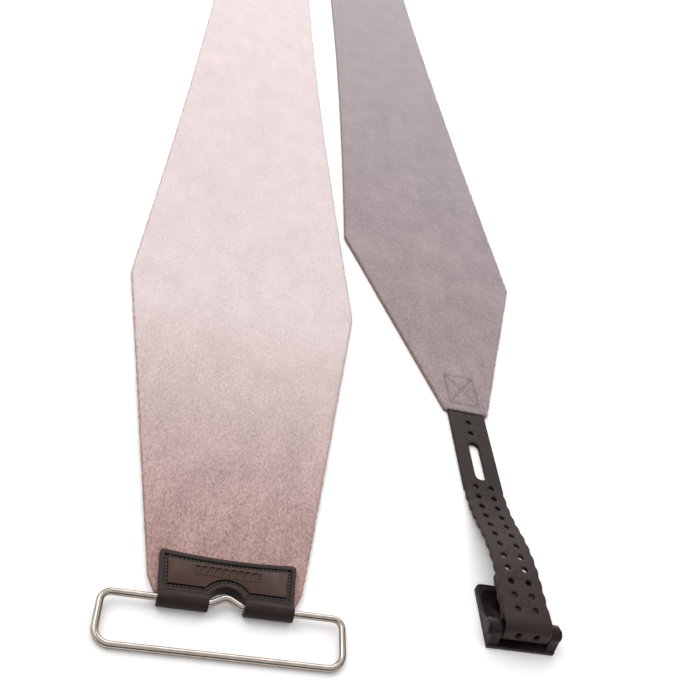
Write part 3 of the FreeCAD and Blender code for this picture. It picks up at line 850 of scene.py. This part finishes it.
def feed(tree, node, inputs):
    """Sets a node's inputs, by name or number, to values or to other nodes' outputs."""
    for label, value in inputs.items():
        if isinstance(value, bpy.types.NodeSocket):
            tree.links.new(value, node.inputs[label])
        else:
            node.inputs[label].default_value = value


def new_finish(name, roughness, inputs=None):
    """A material with its shader at hand."""
    material = bpy.data.materials.new(name)
    material.use_nodes = True
    shader = material.node_tree.nodes["Principled BSDF"]
    feed(material.node_tree, shader, {"Roughness": roughness, **(inputs or {})})
    return material, material.node_tree, shader


def add(tree, kind, inputs=None, **settings):
    """A node with its settings and inputs."""
    node = tree.nodes.new(kind)
    for label, value in settings.items():
        setattr(node, label, value)
    feed(tree, node, inputs or {})
    return node


def shade(colour, factor):
    """The colour made darker or lighter."""
    return tuple(factor * c for c in colour)


def where(tree, attribute, turn=0.0, stretch=(1, 1, 1)):
    """Pattern coordinates in metres: a piece's own flat coordinates, or Object coordinates."""
    if attribute:
        source = add(tree, "ShaderNodeAttribute", attribute_name=attribute).outputs["Vector"]
    else:
        source = add(tree, "ShaderNodeTexCoord").outputs["Object"]
    return add(tree, "ShaderNodeMapping", {
        "Vector": source, "Rotation": (0, 0, turn), "Scale": stretch}).outputs[0]


def noise(tree, vector, scale, detail=4.0, roughness=0.6):
    """Noise value over the pattern coordinates."""
    return add(tree, "ShaderNodeTexNoise", {
        "Vector": vector, "Scale": scale, "Detail": detail, "Roughness": roughness}).outputs[0]


def ramp(tree, value, low, high, from_value=0.3, to_value=0.7):
    """Value spread so that from_value gives low and to_value gives high."""
    return add(tree, "ShaderNodeMapRange", {
        "Value": value, "From Min": from_value, "From Max": to_value,
        "To Min": low, "To Max": high}).outputs[0]


def blend_colours(tree, share, first, second):
    """Colour between two, by a share."""
    first, second = (c if isinstance(c, bpy.types.NodeSocket) else (*c, 1) for c in (first, second))
    return add(tree, "ShaderNodeMix", {0: share, 6: first, 7: second}, data_type="RGBA").outputs[2]


def combine(tree, operation, first, second):
    """Two values put together."""
    return add(tree, "ShaderNodeMath", {0: first, 1: second}, operation=operation).outputs[0]


def relief(tree, shader, height, strength, distance):
    """Relief of the surface from a height value."""
    bump = add(tree, "ShaderNodeBump", {"Height": height, "Strength": strength, "Distance": distance})
    feed(tree, shader, {"Normal": bump.outputs[0]})


def plush_finish(name, near, far, near_y, far_y, backing, near_contrast, far_contrast):
    """Nap plush: short slanting clumps, fine hairs and large brushed patches, browner at the cut edge. Its
    colour and contrast change from one place along the skin to another, and this is painted light: painted
    sheen and haze lighten the far end and wash out its texture, and the skin turned end for end gets darker
    colours, which are painted shade. The grooves of the box stitch get painted shade too."""
    material, tree, shader = new_finish(name, 0.92, {
        "Sheen Weight": 0.3, "Sheen Roughness": 0.4, "Sheen Tint": (1.0, 0.92, 0.91, 1),
        "Specular IOR Level": 0.15})
    flat = add(tree, "ShaderNodeAttribute", attribute_name="flat").outputs["Vector"]
    along = add(tree, "ShaderNodeSeparateXYZ", {"Vector": flat}).outputs[1]
    clump, cross_clump, hair, patch, brushed = (
        noise(tree, where(tree, "flat", turn, (1.0, stretch, 1.0)), scale, detail, roughness)
        for turn, stretch, scale, detail, roughness in (
            (-0.75, 0.6, 1150, 4, 0.6), (0.7, 0.55, 850, 4, 0.6), (-0.75, 0.25, 2300, 3, 0.7),
            (0.2, 0.7, 42, 4, 0.6), (0.9, 0.35, 110, 3, 0.6)))
    tone = ramp(tree, clump, -0.42, 0.42, 0.36, 0.64)
    for value, low, high in (
            (cross_clump, -0.36, 0.36), (hair, 0.35, 0.65), (patch, -0.24, 0.24), (brushed, -0.2, 0.2)):
        tone = combine(tree, "ADD", tone, ramp(tree, value, low, high))
    # Painted sheen and shade along the skin: the share of the far colour, and the texture contrast, which
    # painted haze washes out towards the far end.
    painted_light_share = ramp(tree, along, 0, 1, near_y, far_y)
    contrast = ramp(tree, along, near_contrast, far_contrast, near_y, far_y)
    tone = combine(tree, "MULTIPLY", combine(tree, "SUBTRACT", tone, 0.5), contrast)
    tone = combine(tree, "ADD", tone, 0.5)
    deep = blend_colours(tree, painted_light_share, shade(near, 0.68), shade(far, 0.80))
    light = blend_colours(tree, painted_light_share, shade(near, 1.32), shade(far, 1.20))
    colour = blend_colours(tree, tone, deep, light)
    nap = add(tree, "ShaderNodeAttribute", attribute_name="nap").outputs["Vector"]
    look = add(tree, "ShaderNodeSeparateXYZ", {"Vector": nap})
    # Painted shade in the pressed grooves of the box stitch: the plush there darkens to half its near
    # colour.
    pressed = ramp(tree, look.outputs[1], 0, 0.6, 0.2, 1.0)
    colour = blend_colours(tree, pressed, colour, shade(near, 0.5))
    cut = combine(tree, "MULTIPLY", ramp(tree, look.outputs[0], 0, 0.8, 0.7, 1.0),
                  ramp(tree, cross_clump, 0.2, 1.0, 0.4, 0.6))
    feed(tree, shader, {"Base Color": blend_colours(tree, cut, colour, backing)})
    relief(tree, shader, combine(tree, "ADD", clump, combine(tree, "MULTIPLY", hair, 0.6)), 0.8, 0.0007)
    return material


def fringe_finish(name, near, far, near_y, far_y, backing):
    """Loose fibres: brown where they come out of the backing, and higher up the plush's colour along the
    skin, with the plush's painted sheen and shade.
    """
    material, tree, shader = new_finish(name, 0.85, {"Sheen Weight": 0.2, "Specular IOR Level": 0.15})
    spot = add(tree, "ShaderNodeSeparateXYZ", {"Vector": where(tree, "flat")})
    plush = blend_colours(tree, ramp(tree, spot.outputs[1], 0, 1, near_y, far_y), near, far)
    rise = ramp(tree, spot.outputs[2], 0, 1, PLUSH_BOTTOM, PLUSH_TOP - 0.0009)
    feed(tree, shader, {"Base Color": blend_colours(tree, rise, backing, plush)})
    relief(tree, shader, noise(tree, where(tree, "flat"), 3000), 0.3, 0.0001)
    return material


def cloth_finish(name, colour, dark, threads, roughness):
    """Plain weave: two crossed sets of thread, from the higher of two wave patterns."""
    material, tree, shader = new_finish(name, roughness)
    vector = where(tree, "flat")
    waves = [add(tree, "ShaderNodeTexWave", {"Vector": vector, "Scale": threads, "Distortion": 0.4},
                 bands_direction=way).outputs[1] for way in ("X", "Y")]
    weave = combine(tree, "MAXIMUM", *waves)
    worn = noise(tree, vector, 120)
    share = combine(tree, "MULTIPLY", weave, ramp(tree, worn, 0.6, 1.0))
    feed(tree, shader, {"Base Color": blend_colours(tree, share, dark, colour)})
    relief(tree, shader, weave, 0.5, 0.0002)
    return material


def glue_finish():
    """Adhesive: a dark tacky film with soft orange-peel and a few dull patches."""
    material, tree, shader = new_finish("tacky film", 0.3)
    vector = where(tree, "flat")
    patch = noise(tree, vector, 60)
    film = blend_colours(tree, ramp(tree, patch, 0, 1), (0.030, 0.020, 0.016), (0.075, 0.046, 0.036))
    feed(tree, shader, {"Base Color": film, "Roughness": ramp(tree, patch, 0.22, 0.5)})
    relief(tree, shader, noise(tree, vector, 700, 3), 0.35, 0.0003)
    return material


def rubber_finish(name, colour, attribute, low, high, shine, panel=None):
    """Moulded rubber: fine grain, dusty patches, edges rounded over, and lighter where the attribute "panel"
    marks a worn face. It is darkened from high down to low by painted shade, down to a fifth of its colour:
    the tab in its groove, and the strap, strap root and hook near the floor."""
    material, tree, shader = new_finish(name, shine, {
        "Specular IOR Level": 0.22, "Specular Tint": (1.0, 0.80, 0.74, 1)})
    vector = where(tree, attribute)
    grain = noise(tree, vector, 3200, 3, 0.6)
    dust = noise(tree, vector, 210, 5, 0.65)
    scuff = noise(tree, where(tree, attribute, 0.7, (1.0, 0.15, 1.0)), 900, 4, 0.6)
    height = add(tree, "ShaderNodeSeparateXYZ", {"Vector": vector}).outputs[2]
    face = colour
    if panel:
        marked = add(tree, "ShaderNodeAttribute", attribute_name="panel").outputs["Fac"]
        face = blend_colours(tree, marked, colour, panel)
    # Painted shade: from a fifth of the colour at low up to the full colour at high, so the tab's groove and
    # the parts near the floor are darker.
    base = blend_colours(tree, ramp(tree, height, 0, 1, low, high), shade(colour, 0.2), face)
    base = blend_colours(tree, ramp(tree, dust, 0.0, 0.5, 0.42, 0.72), base, shade(colour, 2.0))
    base = blend_colours(tree, ramp(tree, scuff, 0.0, 0.30, 0.60, 0.74), base, shade(colour, 3.2))
    bevel = add(tree, "ShaderNodeBevel", {"Radius": 0.0004}, samples=4)
    bump = add(tree, "ShaderNodeBump", {
        "Height": combine(tree, "ADD", grain, combine(tree, "MULTIPLY", dust, 0.5)),
        "Strength": 0.4, "Distance": 0.00009, "Normal": bevel.outputs[0]})
    rough = ramp(tree, dust, shine - 0.08, shine + 0.14)
    feed(tree, shader, {"Base Color": base, "Roughness": rough, "Normal": bump.outputs[0]})
    return material


def steel_finish(colour):
    """Drawn stainless wire: bright, with fine lengthwise marks and a slightly uneven polish."""
    material, tree, shader = new_finish("stainless wire", 0.16, {
        "Metallic": 1.0, "Specular Tint": (0.30, 0.26, 0.23, 1)})
    drawn = noise(tree, where(tree, None, 0.0, (0.06, 1.0, 1.0)), 5200, 3, 0.6)
    wear = noise(tree, where(tree, None), 260, 4, 0.6)
    worn = blend_colours(tree, ramp(tree, wear, 0, 0.5, 0.4, 0.75), colour, shade(colour, 0.55))
    feed(tree, shader, {"Base Color": worn, "Roughness": ramp(tree, wear, 0.10, 0.30)})
    relief(tree, shader, drawn, 0.12, 0.00005)
    return material


def thread_finish(name, colour):
    """Twisted thread: fine slanting plies."""
    material, tree, shader = new_finish(name, 0.7, {"Sheen Weight": 0.3})
    vector = where(tree, "flat", 0.8)
    plies = add(tree, "ShaderNodeTexWave", {"Vector": vector, "Scale": 900.0, "Distortion": 1.5}).outputs[1]
    feed(tree, shader, {"Base Color": blend_colours(tree, plies, shade(colour, 0.6), shade(colour, 1.5))})
    relief(tree, shader, plies, 0.5, 0.0001)
    return material


def finish_node(node, material):
    """Gives a carried-over CAD node its finish."""
    slots = frame["nodes"][node].material_slots
    for entry in slots:
        entry.material = material
    if not slots:
        frame["nodes"][node].data.materials.append(material)


class SKINS_OT_plush(bpy.types.Operator):
    """Make the plush, its fibres, the layers under it and the tail patch"""

    bl_idname = "skins.plush"
    bl_label = "Plush and layers"

    def execute(self, context):
        sizes, colours = context.scene.skin_sizes, context.scene.skin_colours
        backing = tuple(colours.backing)
        # Near and far plush colours of each skin, and where along it they change. The left skin is lightened
        # towards its far end by painted sheen and haze. The right skin, turned end for end, is a darker
        # copy, which is painted shade of its nap seen against the grain.
        painted_light_tones = {
            "left": (tuple(colours.plush_tip), tuple(colours.plush_far_painted_sheen), 0.02, 0.19),
            "right": (tuple(colours.plush_turned_near_painted_shade), tuple(colours.plush_turned_far_painted_shade), PLUSH_END, WAIST[1]),
        }
        # Texture contrast near and far: lower towards the far end, where painted haze washes it out, and
        # lower at the right skin's near end under its painted shade.
        contrast = {"left": (1.0, 0.4), "right": (0.65, 0.4)}
        membrane = cloth_finish("coated backing", backing, shade(backing, 0.5), 700, 0.6)
        glue = glue_finish()
        patch = cloth_finish("nylon patch", (0.060, 0.052, 0.052), (0.018, 0.016, 0.016), 500, 0.75)
        for side in SIDES:
            nap = plush_finish(f"{side} nap plush", *painted_light_tones[side], backing, *contrast[side])
            plush, (flat, area) = build_plush(side, sizes, nap)
            fringe = fringe_finish(f"{side} loose fibres", *painted_light_tones[side], backing)
            fibres = [build_edge_fibres(side, sizes, fringe), build_nap_fibres(side, sizes, fringe)]
            for name, start, end, z0, z1, grow, material, node, slot_name in (
                ("backing", PLUSH_START, PLUSH_END, MEMBRANE_BOTTOM, PLUSH_BOTTOM, BACKING_GROW,
                 membrane, "membrane", "membrane"),
                ("adhesive", GLUE_START, GLUE_END, 0.0, MEMBRANE_BOTTOM, 0.0, glue, "glue", "glue"),
            ):
                nodes = (f"{side}_{node}_front", f"{side}_{node}_rear")
                obj, (flat, area) = build_layer(
                    side, name, start, end, z0, z1, grow, material, nodes, slot_name)
                across_fold(side, obj)
            obj, (flat, area) = build_layer(
                side, "tail_cloth", PATCH_START, PLUSH_END, 0.0, MEMBRANE_BOTTOM, 0.0, patch,
                (f"{side}_tail_patch",), "patch_fabric", rows=40)
            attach(obj, f"{side}_rear")
        return {"FINISHED"}


class SKINS_OT_tab(bpy.types.Operator):
    """Make the tip tab, its stitches and the finish of its wire loop"""

    bl_idname = "skins.tab"
    bl_label = "Tip tab and wire loop"

    def execute(self, context):
        sizes, colours = context.scene.skin_sizes, context.scene.skin_colours
        # The tab's groove floor gets painted shade, and its face keeps the full colour.
        rubber = rubber_finish(
            "tab rubber", tuple(colours.rubber), None, GROOVE_FLOOR, TAB_FACE, 0.42,
            tuple(colours.rubber_panel))
        thread = thread_finish("tab thread", tuple(colours.thread))
        steel = steel_finish(tuple(colours.steel))
        for side in SIDES:
            softened(f"{side}_tip_tab", f"{side}_tab", sizes.edge_round, rubber)
            build_tab_stitches(side, sizes, thread)
            finish_node(f"{side}_tip_loop", steel)
        return {"FINISHED"}


class SKINS_OT_strap(bpy.types.Operator):
    """Make the tail strap, its marks, its hook and its stitches"""

    bl_idname = "skins.strap"
    bl_label = "Tail strap and hook"

    def execute(self, context):
        sizes, colours = context.scene.skin_sizes, context.scene.skin_colours
        worn = tuple(colours.strap)
        # Strap, strap root and hook are darkened near the floor by painted shade.
        rubber = rubber_finish("strap rubber", worn, "flat", 0.0, PAINTED_SHADE_TOP, 0.5)
        root = rubber_finish("strap root rubber", worn, None, 0.0, PAINTED_SHADE_TOP, 0.5)
        plastic = rubber_finish("hook plastic", tuple(colours.plastic), None, 0.0, PAINTED_SHADE_TOP, 0.34)
        thread = thread_finish("tail thread", tuple(colours.tail_thread))
        for side in SIDES:
            build_strap(side, sizes, rubber)
            build_strap_marks(side, rubber)
            build_tail_stitches(side, sizes, thread)
            softened(f"{side}_tail_hook", f"{side}_hook", sizes.edge_round, plastic)
            finish_node(f"{side}_peg_plate", plastic)
            finish_node(f"{side}_strap_root", root)
        return {"FINISHED"}


def softbox(name, at, towards, size, power, colour=(1, 1, 1)):
    """Square area light that faces a point."""
    light = bpy.data.lights.new(name, "AREA")
    light.energy = power
    light.size = size
    light.color = colour
    obj = linked(name, light)
    direction = np.array(towards, float) - np.array(at, float)
    obj.location = at
    obj.rotation_euler = (math.acos(-direction[2] / np.linalg.norm(direction)), 0,
                          math.atan2(direction[1], direction[0]) - math.pi / 2)


def dark_card(name, at, size, turn):
    """Dark card that only reflections see, so that wire and rubber get dark edges."""
    width, height = size
    corners = np.array([[-1, -1, 0], [1, -1, 0], [1, 1, 0], [-1, 1, 0]]) * [width / 2, height / 2, 1]
    mesh = bpy.data.meshes.new(name)
    mesh.from_pydata(corners.tolist(), [], [(0, 1, 2, 3)])
    obj = linked(name, mesh)
    obj.location = at
    obj.rotation_euler = turn
    mesh.materials.append(new_finish(name, 1.0, {"Base Color": (0.02, 0.018, 0.018, 1)})[0])
    obj.visible_camera = obj.visible_diffuse = obj.visible_shadow = False


class SKINS_OT_stage(bpy.types.Operator):
    """Make the floor, the lights and the camera"""

    bl_idname = "skins.stage"
    bl_label = "Studio"

    def execute(self, context):
        scene, studio = context.scene, context.scene.skin_studio
        half = studio.floor_size / 2
        side = np.linspace(-half, half, 9)
        x, y = np.meshgrid(side, side)
        mesh = bpy.data.meshes.new("floor")
        mesh.from_pydata(stack(x, y, FLOOR_Z).reshape(-1, 3).tolist(), [], grid_faces(9, 9).tolist())
        floor = linked("floor", mesh)
        material, tree, shader = new_finish("pale floor", 0.6, {"Specular IOR Level": 0.1})
        pale = tuple(scene.skin_colours.floor)
        drift = noise(tree, where(tree, None), 2.0)
        feed(tree, shader, {"Base Color": blend_colours(tree, drift, pale, shade(pale, 0.985))})
        mesh.materials.append(material)

        softbox("key softbox", (-1.1, -0.2, 1.5), (0, -0.75, 0), 1.3, studio.key_power, (1, 0.99, 0.97))
        softbox("rim softbox", (0.5, 1.2, 1.3), (0, -0.6, 0), 1.6, studio.rim_power)
        softbox("far softbox", (-0.1, 0.35, 0.9), (0, 0.25, 0), 1.2, studio.far_power)
        dark_card("low dark card", (0.0, -2.0, 0.35), (3.4, 0.9), (math.pi / 2, 0, 0))
        dark_card("far dark card", (0.0, 2.6, 0.4), (4.5, 0.8), (math.pi / 2, 0, 0))
        dark_card("side dark card", (1.5, -0.9, 0.45), (2.2, 0.8), (math.pi / 2, 0, math.pi / 2))
        world = bpy.data.worlds.new("white room")
        world.use_nodes = True
        background = world.node_tree.nodes["Background"]
        feed(world.node_tree, background, {"Color": (1, 1, 1, 1), "Strength": studio.world_strength})
        scene.world = world
        scene.view_settings.view_transform = "Standard"

        camera = linked("camera", bpy.data.cameras.new("camera"))
        camera.location = studio.camera_at
        camera.rotation_euler = studio.camera_turn
        camera.data.lens = studio.lens
        camera.data.clip_start = 0.01
        scene.camera = camera
        return {"FINISHED"}


class SKINS_PT_panel(bpy.types.Panel):
    """Sizes, colours and steps of the climbing skins"""

    bl_label = "Climbing skins"
    bl_idname = "SKINS_PT_panel"
    bl_space_type = "VIEW_3D"
    bl_region_type = "UI"
    bl_category = "Skins"

    def draw(self, context):
        for group in (context.scene.skin_sizes, context.scene.skin_colours, context.scene.skin_studio):
            column = self.layout.column(align=True)
            for name in group.__annotations__:
                column.prop(group, name)
        for step in STEPS:
            self.layout.operator(step.bl_idname)


STEPS = (SKINS_OT_stage, SKINS_OT_plush, SKINS_OT_tab, SKINS_OT_strap)
GROUPS = {"skin_sizes": SkinSizes, "skin_colours": SkinColours, "skin_studio": StudioSettings}


def register():
    for group in GROUPS.values():
        bpy.utils.register_class(group)
    for step in STEPS + (SKINS_PT_panel,):
        bpy.utils.register_class(step)
    for name, group in GROUPS.items():
        setattr(bpy.types.Scene, name, PointerProperty(type=group))


def unregister():
    for name in GROUPS:
        delattr(bpy.types.Scene, name)
    for step in (SKINS_PT_panel,) + STEPS[::-1]:
        bpy.utils.unregister_class(step)
    for group in GROUPS.values():
        bpy.utils.unregister_class(group)


def main():
    """Registers the add-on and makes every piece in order."""
    register()
    bpy.ops.skins.stage()
    bpy.ops.skins.plush()
    bpy.ops.skins.tab()
    bpy.ops.skins.strap()


if __name__ == "__main__":
    main()
